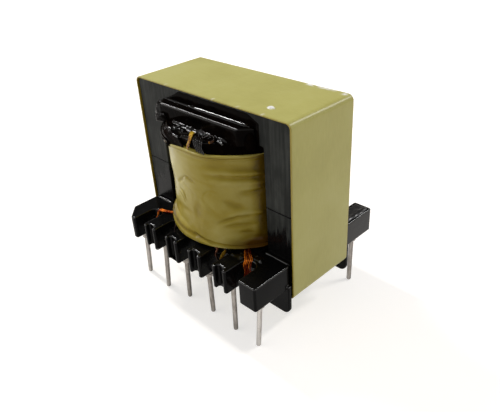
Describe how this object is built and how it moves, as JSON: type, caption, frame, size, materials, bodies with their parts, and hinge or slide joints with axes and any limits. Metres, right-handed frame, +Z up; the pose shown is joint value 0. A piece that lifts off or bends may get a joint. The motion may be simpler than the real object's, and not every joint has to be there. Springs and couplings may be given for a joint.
{
  "type": "transformer",
  "caption": "Vertical ferrite transformer: a taped pair of E-shaped cores on a moulded pin bobbin with a tape-wrapped coil, for through-hole mounting on a circuit board.",
  "frame": {"origin": "under the centre of the part, at the level of the pin tips", "axes": "+Z up from the board, X along the width of the core, front with the cut corner at -Y"},
  "size_m": [0.0336, 0.0282, 0.0366],
  "materials": {
    "ferrite": "dark grey sintered ferrite with faint grinding streaks, matt to satin",
    "yellow_tape": "pale yellow polyester tape, satin, slightly wrinkled",
    "phenolic": "black moulded phenolic, semi-gloss",
    "enamelled_copper": "copper wire with clear amber enamel, glossy",
    "varnished_copper": "copper wire under dark impregnating varnish, glossy",
    "amber_tape": "amber insulation tape, translucent, glossy",
    "tinned_metal": "tin-plated copper-clad steel, satin, lightly tarnished"
  },
  "bodies": {
    "root": {"core_upper": "ferrite", "core_lower": "ferrite", "core_tape": "yellow_tape", "bobbin": "phenolic", "primary_inner": "enamelled_copper", "insulation_inner": "amber_tape", "secondary_winding": "enamelled_copper", "insulation_outer": "amber_tape", "primary_outer": "enamelled_copper", "outer_wrap": "yellow_tape", "pin_1": "tinned_metal", "pin_2": "tinned_metal", "pin_3": "tinned_metal", "pin_4": "tinned_metal", "pin_5": "tinned_metal", "pin_6": "tinned_metal", "pin_7": "tinned_metal", "pin_8": "tinned_metal", "pin_9": "tinned_metal", "pin_10": "tinned_metal", "pin_11": "tinned_metal", "pin_12": "tinned_metal", "lead_1": "enamelled_copper", "lead_3": "varnished_copper", "lead_4": "varnished_copper", "lead_6": "enamelled_copper", "lead_7": "enamelled_copper", "lead_9": "enamelled_copper", "lead_10": "varnished_copper", "lead_12": "enamelled_copper", "solder_joints": "tinned_metal", "link_wire_1": "varnished_copper", "link_wire_2": "varnished_copper", "link_wire_3": "varnished_copper", "tape_tab": "amber_tape", "slot_tab": "amber_tape"}
  },
  "joints": []
}
